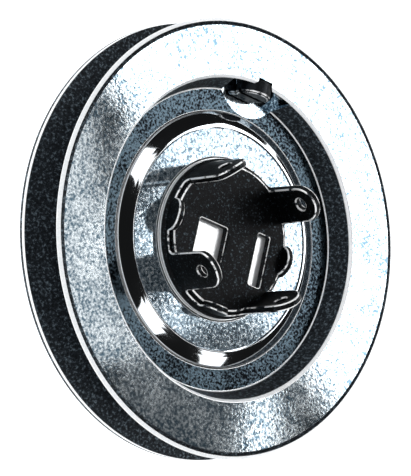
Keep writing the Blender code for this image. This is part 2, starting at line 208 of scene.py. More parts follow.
# Materials: each is one real finish, and the sizes of its patterns are in mm.
# Grey cast iron, turned: the tool's rings draw its sheen out into spokes, and the open grain shows as fine dark
# flecks, drawn about four times as coarse as they are so that they show.
def turnedCastIron(name, look):
    material, tree, shader, place = startMaterial(name, look["bright"], look["metallic"], look["roughness"][0])
    shader.inputs["Anisotropic"].default_value = look["spokes"]
    shader.inputs["Anisotropic Rotation"].default_value = 0.25       # a quarter turn: the sheen runs across the rings
    around = addNode(tree, "Tangent", {"direction_type": "RADIAL", "axis": "Z"})
    tree.links.new(around.outputs["Tangent"], shader.inputs["Tangent"])
    clouds = addNode(tree, "TexNoise", {"Scale": grain(look["cloud"]), "Detail": 3.0}, {"Vector": place})
    flecks = addNode(tree, "TexNoise", {"Scale": grain(look["fleck"]), "Detail": 1.0}, {"Vector": place})
    both = addNode(tree, "Math", {"operation": "MULTIPLY_ADD", 1: look["cloudShare"]},
                   {0: clouds.outputs["Fac"], 2: flecks.outputs["Fac"]})
    middle = 0.5 + look["cloudShare"] / 2
    stops = [(middle - look["soft"], look["dark"]), (middle + look["soft"], look["bright"])]
    tone = addNode(tree, "ValToRGB", {"stops": stops}, {"Fac": both.outputs["Value"]})
    tree.links.new(tone.outputs["Color"], shader.inputs["Base Color"])
    low, high = look["roughness"]
    sheen = addNode(tree, "MapRange", {"From Min": 0.35, "From Max": 0.65, "To Min": low, "To Max": high},
                    {"Value": clouds.outputs["Fac"]})                # nearly all of the noise lies between these
    tree.links.new(sheen.outputs["Result"], shader.inputs["Roughness"])
    relief = addNode(tree, "Bump", {"Strength": look["relief"], "Distance": 0.03 * mm},
                     {"Height": both.outputs["Value"]})
    tree.links.new(relief.outputs["Normal"], shader.inputs["Normal"])
    return material


# Dark iron or steel with a fine pitted skin, from the sand, a rough cut or a blacking bath: dull, with points of light.
def darkCastIron(name, look):
    material, tree, shader, place = startMaterial(name, look["tones"][0][1], look["metallic"], look["roughness"])
    patches = addNode(tree, "TexNoise", {"Scale": grain(look["patch"]), "Detail": 6.0, "Roughness": 0.7},
                      {"Vector": place})
    tone = addNode(tree, "ValToRGB", {"stops": look["tones"]}, {"Fac": patches.outputs["Fac"]})
    tree.links.new(tone.outputs["Color"], shader.inputs["Base Color"])
    sand = addNode(tree, "TexNoise", {"Scale": grain(look["sand"]), "Detail": 3.0, "Roughness": 0.6},
                   {"Vector": place})
    relief = addNode(tree, "Bump", {"Strength": look["relief"], "Distance": 0.12 * mm},
                     {"Height": sand.outputs["Fac"]})
    tree.links.new(relief.outputs["Normal"], shader.inputs["Normal"])
    return material


# Hardened bearing steel, ground and polished: a near-black mirror in a dark room, hard white where it sees a lamp.
def polishedSteel(name, look):
    material, tree, shader, place = startMaterial(name, look["colour"], 1.0, look["roughness"])
    wipe = addNode(tree, "TexNoise", {"Scale": grain(look["wipe"]), "Detail": 3.0}, {"Vector": place})
    low, high = look["roughness"], look["roughness"] + look["wipeDepth"]
    sheen = addNode(tree, "MapRange", {"From Min": 0.3, "From Max": 0.7, "To Min": low, "To Max": high},
                    {"Value": wipe.outputs["Fac"]})
    tree.links.new(sheen.outputs["Result"], shader.inputs["Roughness"])
    waves = 0.314 * grain(look["grindStep"])     # at scale 1 the wave texture repeats every 0.314
    lines = addNode(tree, "TexWave", {"wave_type": "RINGS", "rings_direction": "Z", "Scale": waves,
                                      "Distortion": 1.5, "Detail": 3.0}, {"Vector": place})
    relief = addNode(tree, "Bump", {"Strength": look["relief"], "Distance": 0.004 * mm},
                     {"Height": lines.outputs["Fac"]})
    tree.links.new(relief.outputs["Normal"], shader.inputs["Normal"])
    return material


# Mild steel strip, stamped and tumbled: soft pale sheen with small cloudy dents that never mirror sharply.
def tumbledSteel(name, look):
    material, tree, shader, place = startMaterial(name, look["tones"][0][1], look["metallic"], look["roughness"][0])
    clouds = addNode(tree, "TexNoise", {"Scale": grain(look["cloud"]), "Detail": 4.0, "Roughness": 0.65},
                     {"Vector": place})
    tone = addNode(tree, "ValToRGB", {"stops": look["tones"]}, {"Fac": clouds.outputs["Fac"]})
    tree.links.new(tone.outputs["Color"], shader.inputs["Base Color"])
    low, high = look["roughness"]
    sheen = addNode(tree, "MapRange", {"From Min": 0.3, "From Max": 0.7, "To Min": low, "To Max": high},
                    {"Value": clouds.outputs["Fac"]})
    tree.links.new(sheen.outputs["Result"], shader.inputs["Roughness"])
    dents = addNode(tree, "TexNoise", {"Scale": grain(look["dent"]), "Detail": 2.0}, {"Vector": place})
    relief = addNode(tree, "Bump", {"Strength": look["relief"], "Distance": 0.03 * mm},
                     {"Height": dents.outputs["Fac"]})
    tree.links.new(relief.outputs["Normal"], shader.inputs["Normal"])
    return material


# Black lacquer over a casting, with thin broken white lines along its edges: painted highlight, broken up by noise.
def paintedEdgeHighlight(name, look):
    material, tree, shader, place = startMaterial(name, look["highlightWhite"], look["metallic"], look["roughness"])
    highlightBreaks = addNode(tree, "TexNoise", {"Scale": grain(look["break"]), "Detail": 3.0, "Roughness": 0.6},
                   {"Vector": place})
    stops = [(look["cover"] - 0.04, look["lacquer"]), (look["cover"] + 0.04, look["highlightWhite"])]
    highlightWhite = addNode(tree, "ValToRGB", {"stops": stops}, {"Fac": highlightBreaks.outputs["Fac"]})
    tree.links.new(highlightWhite.outputs["Color"], shader.inputs["Base Color"])
    return material


# Glass-filled nylon, moulded: warm off-white, dull, light passing a little way in.
def mouldedNylon(name, look):
    material, tree, shader, place = startMaterial(name, look["colour"], 0.0, 0.45)
    shader.inputs["IOR"].default_value = 1.53
    shader.inputs["Subsurface Weight"].default_value = 0.15
    shader.inputs["Subsurface Scale"].default_value = 1.2 * mm
    flow = addNode(tree, "TexNoise", {"Scale": grain(look["flow"]), "Detail": 3.0}, {"Vector": place})
    tone = addNode(tree, "ValToRGB", {"stops": [(0.3, look["colour"]), (0.7, look["shade"])]},
                   {"Fac": flow.outputs["Fac"]})
    tree.links.new(tone.outputs["Color"], shader.inputs["Base Color"])
    relief = addNode(tree, "Bump", {"Strength": 0.2, "Distance": 0.02 * mm}, {"Height": flow.outputs["Fac"]})
    tree.links.new(relief.outputs["Normal"], shader.inputs["Normal"])
    return material


# The front face, the boss and what is milled or drilled in them: white where it mirrors a lamp, breaking up into
# grey and dark grain at its edge.
facedIron = turnedCastIron("greyCastIronFaced", {
    "bright": "#EAF3F8", "dark": "#566F7F", "soft": 0.17, "metallic": 1.0, "roughness": (0.05, 0.08), "spokes": 0.5,
    "cloud": 12, "cloudShare": 0.35, "fleck": 0.8, "relief": 0.22})
# The rim's narrow turned lands and the casting's rounded corners: near-white and half diffuse, so that they show as
# even thin white lines round the dark groove in any light; partly the bright turned metal, partly painted highlight.
paintedHighlightEdgeIron = turnedCastIron("greyCastIronPaintedHighlightEdge", {
    "bright": "#FFFFFF", "dark": "#EEF1F3", "soft": 0.2, "metallic": 0.5, "roughness": (0.28, 0.4), "spokes": 0.0,
    "cloud": 6, "cloudShare": 0.5, "fleck": 0.7, "relief": 0.1})
# The recess: the same iron, darker, a speckled blue-grey that stays below the face's white.
recessIron = turnedCastIron("greyCastIronDarkened", {
    "bright": "#44525B", "dark": "#05070A", "soft": 0.12, "metallic": 1.0, "roughness": (0.2, 0.28), "spokes": 0.6,
    "cloud": 15, "cloudShare": 0.6, "fleck": 0.8, "relief": 0.3})
# The belt groove: nearly black, sprinkled with light points from its rough cut.
grooveIron = darkCastIron("greyCastIronRoughTurned", {
    "tones": [(0.35, "#0D1013"), (0.53, "#2A3036"), (0.66, "#7E8D97")],
    "metallic": 0.7, "roughness": 0.45, "patch": 0.9, "sand": 0.7, "relief": 0.9})
# The bearing's rings and balls: black mirrors with hard white blocks.
ringSteel = polishedSteel("bearingSteelPolished", {
    "colour": "#DDE2E6", "roughness": 0.04, "wipe": 7, "wipeDepth": 0.03, "grindStep": 0.5, "relief": 0.05})
# Ground lands and broken corners of the bearing and the hub, and the spider's foot: near-white and half diffuse, so
# that they show as even thin light lines in any light; partly bright ground steel, partly painted highlight.
paintedHighlightLand = turnedCastIron("bearingSteelPaintedHighlightLand", {
    "bright": "#FFFFFF", "dark": "#EEF1F3", "soft": 0.2, "metallic": 0.5, "roughness": (0.3, 0.4), "spokes": 0.0,
    "cloud": 8, "cloudShare": 0.5, "fleck": 0.6, "relief": 0.1})
# The shields: pale and cloudy, from white to blue-grey, with fine bright and dark grain.
shieldSteel = tumbledSteel("mildSteelTumbled", {
    "tones": [(0.38, "#3A4D5A"), (0.52, "#96A8B4"), (0.66, "#F2F7FA")],
    "metallic": 0.75, "roughness": (0.06, 0.09), "cloud": 0.9, "dent": 0.9, "relief": 0.14})
# The hub sleeve: bright and even, so the spider's windows show as plain white shapes.
sleeveSteel = tumbledSteel("mildSteelBrightTurned", {
    "tones": [(0.3, "#F0F3F5"), (0.7, "#FFFFFF")],
    "metallic": 0.65, "roughness": (0.3, 0.38), "cloud": 5, "dent": 1.4, "relief": 0.1})
# The drive spider: black lacquer on a rough casting, with a few dull grey points.
spiderIron = darkCastIron("malleableIronBlackLacquer", {
    "tones": [(0.4, "#020304"), (0.57, "#07090C"), (0.69, "#4E5B63")],
    "metallic": 0.85, "roughness": 0.42, "patch": 0.8, "sand": 0.8, "relief": 0.8})
# The spider's edges: thin broken white lines of painted highlight.
spiderEdgeHighlight = paintedEdgeHighlight("malleableIronPaintedEdgeHighlight", {
    "highlightWhite": "#FFFFFF", "lacquer": "#1B2127", "metallic": 0.5, "roughness": 0.3, "break": 2.5, "cover": 0.44})
# The lock screw and the snap ring: smooth black with a little more sheen than the castings.
blackedSteel = darkCastIron("steelOilBlacked", {
    "tones": [(0.3, "#0A0C0F"), (0.6, "#15191D"), (0.8, "#2F373D")],
    "metallic": 0.8, "roughness": 0.33, "patch": 1.8, "sand": 0.6, "relief": 0.35})
# The ball cage, behind the shields: dull warm off-white.
cageNylon = mouldedNylon("nylonGlassFilled", {"colour": "#CFC6AE", "shade": "#B4AA90", "flow": 5})
print("materials made:", len(bpy.data.materials))

# The sheave. Here and below sizes are in mm and degrees, those of round things are radii, and heights start at the
# table. Steps and segments say how finely a curve is drawn.
sheave = {
    "rim": 68.65, "width": 19.0, "chamfer": 1.0, "chamferDrop": 0.8, "frontLand": 1.05,
    "mouth": 15.65, "grooveDepth": 13.6, "wallAngle": 19.0, "rearCorner": 0.3, "rearDark": 1.4,
    "scoreWidth": 1.2, "scoreDepth": 0.7, "mouthChamfer": 0.7,
    "recess": 50.1, "recessFloor": 47.4, "recessDepth": 7.75,
    "seat": 40.3, "lip": 37.0, "lipHeight": 3.0, "boss": 46.0, "bossChamfer": 1.0, "face": 26.8,
    "pocketRadius": 13.2, "pocketCentre": 54.1, "pocketSink": 0.4, "pocketSteps": 32,
    "lockHole": 5.8, "lockHoleLength": 5.3, "lockTip": 46.9, "lockDepth": 5.0,
    "segments": 288, "holeSegments": 64,
}
face = sheave["face"] * mm
past = 1                                         # mm that a cutter stands out of what it cuts
faced, groove, skin, edge = range(4)             # the casting's materials, in the order of its list; edge is the white painted-highlight lines on lands and corners


def sheaveOutline(s):
    halfMouth = s["mouth"] / 2
    middle = s["face"] - s["frontLand"] - halfMouth
    halfFloor = halfMouth - s["grooveDepth"] * math.tan(math.radians(s["wallAngle"]))
    floor = s["rim"] - s["grooveDepth"]
    rear = s["face"] - s["width"]
    recess = s["face"] - s["recessDepth"]
    crown = s["rim"] - s["chamfer"]              # outer edge of the front face
    return inMetres([
        (s["rim"] - s["rearCorner"], rear, 0.1, groove, groove),
        (s["rim"], rear + s["rearCorner"], 0.1, groove, groove),
        (s["rim"], rear + s["rearDark"], 0.0, edge, edge),
        (s["rim"], middle - halfMouth, 0.2, groove, edge),
        (floor, middle - halfFloor, 0.8, groove, groove),
        (floor, middle + halfFloor, 0.8, groove, groove),
        (s["rim"], middle + halfMouth, 0.12, edge, edge),
        (s["rim"], s["face"] - s["chamferDrop"], 0.2, edge, edge),
        (crown, s["face"], 0.08, groove, edge),
        (crown - 0.4 * s["scoreWidth"], s["face"] - s["scoreDepth"], 0.1, groove, groove),     # the scored line; its dark groove iron is painted shade
        (crown - s["scoreWidth"], s["face"], 0.08, faced, groove),
        (s["recess"] + s["mouthChamfer"], s["face"], 0.25, edge, edge),
        (s["recess"], s["face"] - s["mouthChamfer"], 0.2, groove, edge),
        (s["recessFloor"], recess, 0.3, skin, edge),
        (s["seat"], recess, 0.25, skin, edge),
        (s["seat"], s["lipHeight"], 0.0, faced, faced),
        (s["lip"], s["lipHeight"], 0.3, faced, faced),
        (s["lip"], 0.0, 0.4, faced, edge),
        (s["boss"] - s["bossChamfer"], 0.0, 0.3, faced, edge),
        (s["boss"], s["bossChamfer"], 0.3, skin, edge),
        (s["boss"], rear, 1.2, faced, skin),
    ])


def pocketCutter(s):                             # the round milled pocket, only as far out as the recess mouth
    recess, radius, centre = s["recess"] * mm, s["pocketRadius"] * mm, s["pocketCentre"] * mm
    along = (centre ** 2 + recess ** 2 - radius ** 2) / (2 * centre)       # where the two circles cross
    across = math.sqrt(recess ** 2 - along ** 2)
    steps = s["pocketSteps"]

    def arc(middle, size, start, end):
        angles = [start + (end - start) * step / steps for step in range(steps + 1)]
        return [(size * math.cos(angle), middle + size * math.sin(angle)) for angle in angles]

    wallStart = math.atan2(along, across)
    outline = arc(0, recess, wallStart, math.pi - wallStart)
    outline += arc(centre, radius, math.atan2(along - centre, -across) + turn,
                   math.atan2(along - centre, across) + turn)[1:-1]
    bottom = (s["face"] - s["recessDepth"] - s["pocketSink"]) * mm
    return sweepOutline(lambda spread: outline, [(bottom, 0, faced), (face + past * mm, 0, faced)])


def layInWall(build):                            # from the Z axis to the lock screw's place in the recess wall
    place = Matrix.Translation((0, sheave["lockTip"] * mm, face - sheave["lockDepth"] * mm))
    bmesh.ops.transform(build, verts=build.verts, matrix=place @ Matrix.Rotation(-quarter, 4, "X"))
    return build


castingMaterials = [facedIron, grooveIron, recessIron, paintedHighlightEdgeIron]
sheavePiece = addPiece("sheaveCasting", turnOutline(sheaveOutline(sheave), sheave["segments"]),
                       castingMaterials, "pulley")
cutWith(sheavePiece, addPiece("pocketCutter", pocketCutter(sheave), castingMaterials, None))
lockHole = turnOutline(inMetres([(0, 0, 0, faced, faced), (sheave["lockHole"], 0, 0, faced, faced),
                                 (sheave["lockHole"], sheave["lockHoleLength"], 0, faced, faced),
                                 (0, sheave["lockHoleLength"], 0, faced, faced)]),
                       sheave["holeSegments"], closed=False)
cutWith(sheavePiece, addPiece("lockHoleCutter", layInWall(lockHole), castingMaterials, None))
keepFlatsFlat(sheavePiece)
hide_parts("sheave")
print("sheave made:", len(sheavePiece.data.polygons), "faces")

# The lock screw in the recess wall.
lock = {"radius": 5.5, "length": 5.0, "chamfer": 0.6, "segments": 72,
        "slot": 1.6, "slotDepth": 1.4, "slotCorner": 0.2, "slotReach": 9}
screwFlat = lock["radius"] - lock["chamfer"]
# The chamfer corners take the spider's white edge lines: painted highlight.
screw = turnOutline(inMetres([
    (0, 0, 0, 0, 0), (screwFlat, 0, 0.25, 0, 1), (lock["radius"], lock["chamfer"], 0.25, 0, 1),
    (lock["radius"], lock["length"] - lock["chamfer"], 0.2, 0, 0), (screwFlat, lock["length"], 0.2, 0, 0),
    (0, lock["length"], 0, 0, 0)]), lock["segments"], closed=False)
screwPiece = addPiece("lockScrewBlacked", layInWall(screw), [blackedSteel, spiderEdgeHighlight], "pulley")
slotHalf, slotDepth, slotReach = lock["slot"] / 2 * mm, lock["slotDepth"] * mm, lock["slotReach"] * mm
slotCut = sweepOutline(lambda spread: roundedRectangle(-slotReach, slotReach, -slotHalf, slotHalf,
                                                       lock["slotCorner"] * mm, spread),
                       [(-slotDepth, 0, 0), (slotDepth, 0, 0)])
cutWith(screwPiece, addPiece("slotCutter", layInWall(slotCut), [blackedSteel], None))
keepFlatsFlat(screwPiece)
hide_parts("lock_screw")
print("lock screw made:", len(screwPiece.data.polygons), "faces")

# The ball bearing.
bearing = {
    "rear": 3.3, "front": 21.3, "outside": 40.0, "bore": 20.0, "chamfer": 0.9,
    "brow": 5.0, "browDrop": 1.7, "browCurve": 1.6, "browSteps": 20, "browLip": 0.05, "landHeight": 1.0,
    "shoulderOut": 34.4, "shoulderIn": 25.4, "pitch": 30.0, "raceway": 6.0, "racewaySteps": 16, "ledge": 1.5,
    "shieldThickness": 0.9, "shieldSink": 0.3, "clear": 0.3, "segments": 256,
}
middleHeight = (bearing["rear"] + bearing["front"]) / 2


def raceway(b, shoulder, middle):                # the balls' round track, about this angle of the ball's section
    swing = math.acos(abs(shoulder - b["pitch"]) / b["raceway"])
    first, last = middle + swing, middle - swing
    angles = [first + (last - first) * step / b["racewaySteps"] for step in range(b["racewaySteps"] + 1)]
    return [(b["pitch"] + b["raceway"] * math.cos(angle), middleHeight + b["raceway"] * math.sin(angle), 0, 0, 0)
            for angle in angles]


def outerRingOutline(b):
    notch = b["outside"] - b["brow"]
    browFoot = b["front"] - b["browDrop"]
    corners = [(b["outside"] - b["chamfer"], b["rear"], 0.3, 0, 1),
               (b["outside"], b["rear"] + b["chamfer"], 0.3, 0, 1),
               (b["outside"], browFoot - b["landHeight"], 0.0, 1, 1),
               (b["outside"], browFoot - b["browLip"], 0.5, 0, 1)]
    for step in range(1, b["browSteps"]):        # the brow rises inwards, steep at first and level at its top
        share = step / b["browSteps"]
        height = b["front"] - b["browDrop"] * (1 - share) ** b["browCurve"]
        corners.append((b["outside"] - b["brow"] * share, height, 0, 0, 0))
    corners += [(notch, b["front"], 0.3, 0, 1), (notch, b["front"] - b["ledge"], 0, 0, 0),
                (b["shoulderOut"], b["front"] - b["ledge"], 0, 0, 0)]
    corners += raceway(b, b["shoulderOut"], 0)
    corners += [(b["shoulderOut"], b["rear"] + b["ledge"], 0, 0, 0), (notch, b["rear"] + b["ledge"], 0, 0, 0),
                (notch, b["rear"], 0.3, 0, 1)]
    return inMetres(corners)


def innerRingOutline(b):
    bore = b["bore"]
    corners = [(bore, b["rear"] + b["chamfer"], 0.3, 0, 0), (bore, b["front"] - b["chamfer"], 0.3, 0, 0),
               (bore + b["chamfer"], b["front"], 0.3, 1, 1), (b["shoulderIn"], b["front"], 0.15, 0, 1)]
    corners += list(reversed(raceway(b, b["shoulderIn"], math.pi)))
    corners += [(b["shoulderIn"], b["rear"], 0.15, 1, 1), (bore + b["chamfer"], b["rear"], 0.3, 0, 1)]
    return inMetres(corners)


def shieldOutline(b, bottom):
    inner, outer = b["shoulderIn"] + b["clear"], b["outside"] - b["brow"] - b["clear"]
    top = bottom + b["shieldThickness"]
    return inMetres([(inner, bottom, 0.25, 0, 1), (outer, bottom, 0.3, 0, 0), (outer, top, 0.3, 0, 0),
                     (inner, top, 0.25, 0, 1)])


# Zone 1 of each outline, the lands and broken corners, gets the white painted-highlight material.
def addBearingPiece(name, outline, steel, body):
    return addPiece(name, turnOutline(outline, bearing["segments"]), [steel, paintedHighlightLand], body)


outerRing = addBearingPiece("bearingOuterRing", outerRingOutline(bearing), ringSteel, "pulley")
innerRing = addBearingPiece("bearingInnerRing", innerRingOutline(bearing), ringSteel, "hub")
frontBottom = bearing["front"] - bearing["shieldSink"] - bearing["shieldThickness"]
rearBottom = bearing["rear"] + bearing["shieldSink"]
frontShield = addBearingPiece("bearingFrontShield", shieldOutline(bearing, frontBottom), shieldSteel, "pulley")
rearShield = addBearingPiece("bearingRearShield", shieldOutline(bearing, rearBottom), shieldSteel, "pulley")
for piece, node, slot in ((outerRing, "bearing_outer_ring", "bearing_steel"),
                          (innerRing, "bearing_inner_ring", "bearing_steel"),
                          (frontShield, "front_shield", "shield_steel"), (rearShield, "rear_shield", "shield_steel")):
    keepFlatsFlat(piece)
    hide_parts(node)
for name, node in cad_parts.items():       # balls and cage keep their solids
    if name.startswith("ball_"):
        finish = cageNylon if name == "ball_cage" else ringSteel
        node.data.materials.clear()
        node.data.materials.append(finish)
print("bearing made")

# The drive spider: a round wall with four drilled ears and three low lobes, and a web with two windows.
spider = {
    "outside": 24.3, "wall": 2.2, "foot": 0.7, "footHeight": 2.0, "footLand": 0.6, "footGap": 0.3,
    "ears": 4, "earHeight": 16.8, "earWidth": 12.0, "earHole": 2.0, "earHoleDrop": 6.4, "holeRim": 0.3,
    "valley": -2.0, "lobeRise": 4.3, "lobeWidth": 10.4, "lobeLeftOut": 1, "draft": 0.2, "root": 1.3,
    "arcSteps": 12, "rootSteps": 6, "flankSteps": 6, "levelSteps": 4, "rimSteps": 4,
    "webHeight": -0.9, "webThickness": 1.8, "webEdge": 0.6, "webSegments": 128, "holeSegments": 40,
    "windows": (((-13.0, -1.9), (-11.5, 2.4)), ((10.9, 15.5), (-11.2, 5.2))), "windowCorner": 0.5,
    "rounding": 0.42, "windowRim": ((0.6, 0.12), (0.25, 0.4)), "windowPast": 0.4,
}
iron, paintedEdge, paintedLand = range(3)                  # the spider's materials, in the order of its list; the second and third are white painted-highlight lines


def crownLine(s):                                # the crown's top edge unrolled: (way round, height), lobe to lobe
    middleRadius = s["outside"] - s["wall"] / 2
    pitch = turn * middleRadius / s["ears"]
    halfEar, halfLobe, valley = s["earWidth"] / 2, s["lobeWidth"] / 2, s["valley"]
    shoulder = s["earHeight"] - halfEar
    foot = pitch / 2 - halfEar - s["draft"]
    rising = []                                  # from the middle of a lobe to the top of an ear
    for step in range(s["arcSteps"] + 1):
        swing = quarter * step / s["arcSteps"]
        rising.append((halfLobe * math.sin(swing), valley + s["lobeRise"] * math.cos(swing)))
    for step in range(1, s["levelSteps"]):
        rising.append((halfLobe + (foot - s["root"] - halfLobe) * step / s["levelSteps"], valley))
    for step in range(s["rootSteps"] + 1):
        swing = quarter * step / s["rootSteps"]
        rising.append((foot - s["root"] * (1 - math.sin(swing)), valley + s["root"] * (1 - math.cos(swing))))
    for step in range(1, s["flankSteps"]):
        share = step / s["flankSteps"]
        rising.append((foot + s["draft"] * share, valley + s["root"] + (shoulder - valley - s["root"]) * share))
    for step in range(s["arcSteps"] + 1):
        swing = quarter * step / s["arcSteps"]
        rising.append((pitch / 2 - halfEar * math.cos(swing), shoulder + halfEar * math.sin(swing)))
    line = []
    for number in range(s["ears"]):
        for along, height in rising + [(pitch - a, h) for a, h in reversed(rising[1:-1])]:
            noLobe = (along < halfLobe and number == s["lobeLeftOut"]) or \
                     (along > pitch - halfLobe and number + 1 == s["lobeLeftOut"])
            line.append((number * pitch + along, valley if noLobe else height))
    return line, middleRadius


def crownWall(s, faceHeight):                    # the round wall under that line, with a foot and a rounded rim
    line, middleRadius = crownLine(s)
    length = turn * middleRadius
    count = len(line)
    bottom = bearing["front"] + s["footGap"] - faceHeight
    footTop = bottom + s["footHeight"]
    inside, outside, footOut = s["outside"] - s["wall"], s["outside"], s["outside"] + s["foot"]
    steps = s["rimSteps"]
    build = bmesh.new()
    columns = []
    for place, (along, height) in enumerate(line):
        before, after = line[place - 1], line[(place + 1) % count]
        run = Vector(((after[0] - before[0]) % length, after[1] - before[1])).normalized()
        outward = Vector((-run.y, run.x))
        rim = []
        for step in range(steps + 1):
            swing = quarter * step / steps
            inset, drop = s["rounding"] * (1 - math.sin(swing)), s["rounding"] * (1 - math.cos(swing))
            rim.append((drop, height - outward.y * inset, along - outward.x * inset))
        low = rim[0][2]                          # the wall stands straight under its rim
        section = [(inside, bottom, low, iron), (footOut, bottom, low, paintedLand),
                   (footOut, bottom + s["footLand"], low, iron), (footOut, footTop - s["foot"], low, iron),
                   (outside, footTop, low, iron)]
        zones = [paintedEdge] * steps + [iron]
        section += [(outside - drop, z, x, zone) for (drop, z, x), zone in zip(rim, zones)]
        section += [(inside + drop, z, x, zone) for (drop, z, x), zone in zip(reversed(rim), zones)]
        column = []
        for r, z, x, zone in section:
            angle = x / middleRadius
            corner = (r * math.cos(angle) * mm, r * math.sin(angle) * mm, (faceHeight + z) * mm)
            column.append((build.verts.new(corner), zone))
        columns.append(column)
    for place in range(count):
        here, there = columns[place], columns[(place + 1) % count]
        for spot in range(len(here)):
            after = (spot + 1) % len(here)
            ring = (here[spot][0], there[spot][0], there[after][0], here[after][0])
            build.faces.new(ring).material_index = here[spot][1]
    return build


spiderMaterials = [spiderIron, spiderEdgeHighlight, paintedHighlightLand]
spiderPiece = addPiece("driveSpiderCasting", crownWall(spider, sheave["face"]), spiderMaterials, "hub")
webTop = sheave["face"] + spider["webHeight"]
webBottom = webTop - spider["webThickness"]
webRadius = spider["outside"] - spider["wall"] / 2
web = inMetres([(0, webBottom, 0, iron, iron), (webRadius, webBottom, 0, iron, iron),
                (webRadius, webTop - spider["webEdge"], 0.1, iron, iron),
                (webRadius - spider["webEdge"], webTop, 0.3, iron, paintedEdge), (0, webTop, 0, iron, iron)])
webJoiner = turnOutline(web, spider["webSegments"], closed=False)
cutWith(spiderPiece, addPiece("webJoiner", webJoiner, spiderMaterials, None), "UNION")

flare = spider["rounding"]
(lowDrop, lowSpread), (highDrop, highSpread) = spider["windowRim"]       # as shares of the rounding
for (left, right), (near, far) in spider["windows"]:
    levels = [(webBottom - past, 0, iron), (webTop - flare, 0, iron),
              (webTop - lowDrop * flare, lowSpread * flare, iron),
              (webTop - highDrop * flare, highSpread * flare, paintedEdge), (webTop, flare, iron),
              (webTop + past, flare + spider["windowPast"], iron)]
    window = sweepOutline(lambda spread: roundedRectangle(left * mm, right * mm, near * mm, far * mm,
                                                          spider["windowCorner"] * mm, spread),
                          [(z * mm, spread * mm, zone) for z, spread, zone in levels])
    cutWith(spiderPiece, addPiece("windowCutter", window, spiderMaterials, None))

inside, outside, hole = spider["outside"] - spider["wall"], spider["outside"], spider["earHole"]
rimStep = spider["holeRim"] * flare
rod = inMetres([(0, inside - 2 * past, 0, iron, iron), (hole + flare, inside - 2 * past, 0, iron, iron),
                (hole + flare, inside, 0, paintedEdge, paintedEdge), (hole + rimStep, inside + rimStep, 0, paintedEdge, paintedEdge),
                (hole, inside + flare, 0, iron, iron), (hole, outside - flare, 0, paintedEdge, paintedEdge),
                (hole + rimStep, outside - rimStep, 0, paintedEdge, paintedEdge), (hole + flare, outside, 0, iron, iron),
                (hole + flare, outside + 2 * past, 0, iron, iron), (0, outside + 2 * past, 0, iron, iron)])
holeHeight = (sheave["face"] + spider["earHeight"] - spider["earHoleDrop"]) * mm
firstEar = turn / (2 * spider["ears"])
for number in range(spider["ears"]):
    cutter = turnOutline(rod, spider["holeSegments"], closed=False)
    bmesh.ops.transform(cutter, verts=cutter.verts, matrix=Matrix.Translation((0, 0, holeHeight))
                        @ Matrix.Rotation(firstEar + number * turn / spider["ears"], 4, "Z")
                        @ Matrix.Rotation(quarter, 4, "Y"))
    cutWith(spiderPiece, addPiece("earHoleCutter", cutter, spiderMaterials, None))
keepFlatsFlat(spiderPiece)
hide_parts("drive_spider")
print("spider made:", len(spiderPiece.data.polygons), "faces")

# The hub sleeve and its snap ring.
sleeve = {"radius": 19.7, "top": 23.8, "bottom": 0.2, "shaft": 12.5, "shaftDepth": 17.5, "chamfer": 0.6,
          "keyWidth": 8.0, "keyDepth": 3.3, "keyCorner": 0.25, "keyStart": -10,
          "grooveTop": 3.3, "grooveWidth": 1.8, "grooveDepth": 1.2, "segments": 160}
boreTop = sleeve["bottom"] + sleeve["shaftDepth"]


def sleeveOutline(k):
    shaft, radius, chamfer, bottom = k["shaft"], k["radius"], k["chamfer"], k["bottom"]
    grooveFloor, grooveBottom = radius - k["grooveDepth"], k["grooveTop"] - k["grooveWidth"]
    return inMetres([
        (0, boreTop, 0, 0, 0), (shaft, boreTop, 0.3, 0, 0), (shaft, bottom + chamfer, 0.15, 1, 1),
        (shaft + chamfer, bottom, 0.15, 0, 1), (radius - chamfer, bottom, 0.15, 1, 1),
        (radius, bottom + chamfer, 0.15, 0, 1), (radius, grooveBottom, 0.1, 0, 1),
        (grooveFloor, grooveBottom, 0.1, 0, 0), (grooveFloor, k["grooveTop"], 0.1, 0, 0),
        (radius, k["grooveTop"], 0.1, 0, 1), (radius, k["top"] - chamfer, 0.15, 1, 1),
        (radius - chamfer, k["top"], 0.15, 0, 1), (0, k["top"], 0, 0, 0)])


# The sleeve's chamfers take the white painted-highlight lines.
sleevePiece = addPiece("hubSleeveTurned", turnOutline(sleeveOutline(sleeve), sleeve["segments"], closed=False),
                       [sleeveSteel, paintedHighlightLand], "hub")
keyHalf, keyTop = sleeve["keyWidth"] / 2 * mm, (sleeve["shaft"] + sleeve["keyDepth"]) * mm
keyway = sweepOutline(lambda spread: roundedRectangle(-keyHalf, keyHalf, 0, keyTop, sleeve["keyCorner"] * mm, spread),
                      [(sleeve["keyStart"] * mm, 0, 0), (boreTop * mm, 0, 0)])
cutWith(sleevePiece, addPiece("keywayCutter", keyway, [sleeveSteel, paintedHighlightLand], None))
keepFlatsFlat(sleevePiece)
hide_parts("hub_sleeve")
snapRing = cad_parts["snap_ring"]
snapRing.data.materials.clear()
snapRing.data.materials.append(blackedSteel)
print("sleeve made")

# Floor, camera and lights. The camera's distance is in metres. Its focal length and its aim are in pixels of the
# photograph, which is imageHeight of them tall.
studio = {"distance": 1.15133, "focal": 3714.45, "imageHeight": 476, "sensor": 36, "tilt": 41.21, "roll": 5.13,
          "aimShift": 26.62, "turned": 22.5,
          "floor": "#F4F5F6", "floorRadius": 12.0, "floorSegments": 96, "floorGlow": 0.95, "fibre": 1.5}
floorMesh = bmesh.new()
bmesh.ops.create_circle(floorMesh, cap_ends=True, radius=studio["floorRadius"], segments=studio["floorSegments"])
